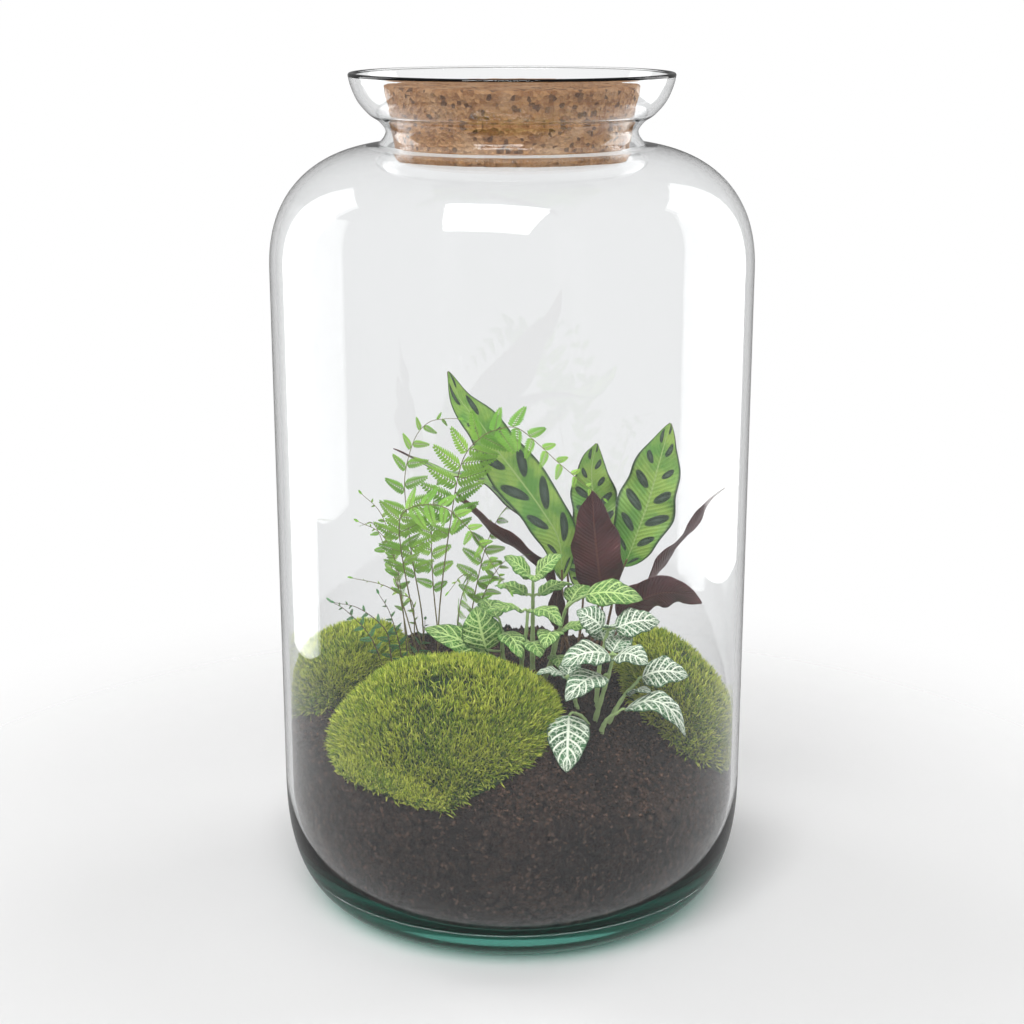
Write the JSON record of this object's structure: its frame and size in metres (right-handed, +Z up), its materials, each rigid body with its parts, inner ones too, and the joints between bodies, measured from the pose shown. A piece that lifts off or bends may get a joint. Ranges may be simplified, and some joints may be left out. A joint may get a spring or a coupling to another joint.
{
  "type": "glass plant terrarium",
  "caption": "Tall glass jar with a flared neck and a cork stopper, holding gravel, soil, moss cushions and small green plants.",
  "frame": {"origin": "centre of the jar's foot, on the surface it stands on", "axes": "+Z up through the middle of the jar's neck, +X to the right and -Y towards the viewer as pictured"},
  "size_m": [0.27, 0.27, 0.475],
  "materials": {
    "glass": "gloss",
    "cork": "matte",
    "gravel": "matte",
    "soil": "matte",
    "moss": "matte",
    "calathea_leaf": "satin",
    "fern_frond": "matte",
    "button_fern_frond": "satin",
    "fittonia_green": "matte",
    "fittonia_white": "matte"
  },
  "bodies": {
    "root": {"button_fern_frond_1": "button_fern_frond", "button_fern_frond_2": "button_fern_frond", "button_fern_frond_3": "button_fern_frond", "button_fern_frond_4": "button_fern_frond", "button_fern_root_ball": "soil", "calathea_leaf_1": "calathea_leaf", "calathea_leaf_10": "calathea_leaf", "calathea_leaf_2": "calathea_leaf", "calathea_leaf_3": "calathea_leaf", "calathea_leaf_4": "calathea_leaf", "calathea_leaf_5": "calathea_leaf", "calathea_leaf_6": "calathea_leaf", "calathea_leaf_7": "calathea_leaf", "calathea_leaf_8": "calathea_leaf", "calathea_leaf_9": "calathea_leaf", "calathea_root_ball": "soil", "cork_stopper": "cork", "fern_frond_1": "fern_frond", "fern_frond_10": "fern_frond", "fern_frond_11": "fern_frond", "fern_frond_2": "fern_frond", "fern_frond_3": "fern_frond", "fern_frond_4": "fern_frond", "fern_frond_5": "fern_frond", "fern_frond_6": "fern_frond", "fern_frond_7": "fern_frond", "fern_frond_8": "fern_frond", "fern_frond_9": "fern_frond", "fern_root_ball": "soil", "fittonia_left_root_ball": "soil", "fittonia_left_stem_1": "fittonia_green", "fittonia_left_stem_2": "fittonia_green", "fittonia_left_stem_3": "fittonia_green", "fittonia_left_stem_4": "fittonia_green", "fittonia_left_stem_5": "fittonia_green", "fittonia_right_root_ball": "soil", "fittonia_right_stem_1": "fittonia_white", "fittonia_right_stem_2": "fittonia_white", "fittonia_right_stem_3": "fittonia_white", "fittonia_right_stem_4": "fittonia_white", "fittonia_right_stem_5": "fittonia_white", "fittonia_right_stem_6": "fittonia_white", "glass_jar": "glass", "gravel_layer": "gravel", "moss_front": "moss", "moss_left": "moss", "moss_right": "moss", "soil": "soil"}
  },
  "joints": []
}
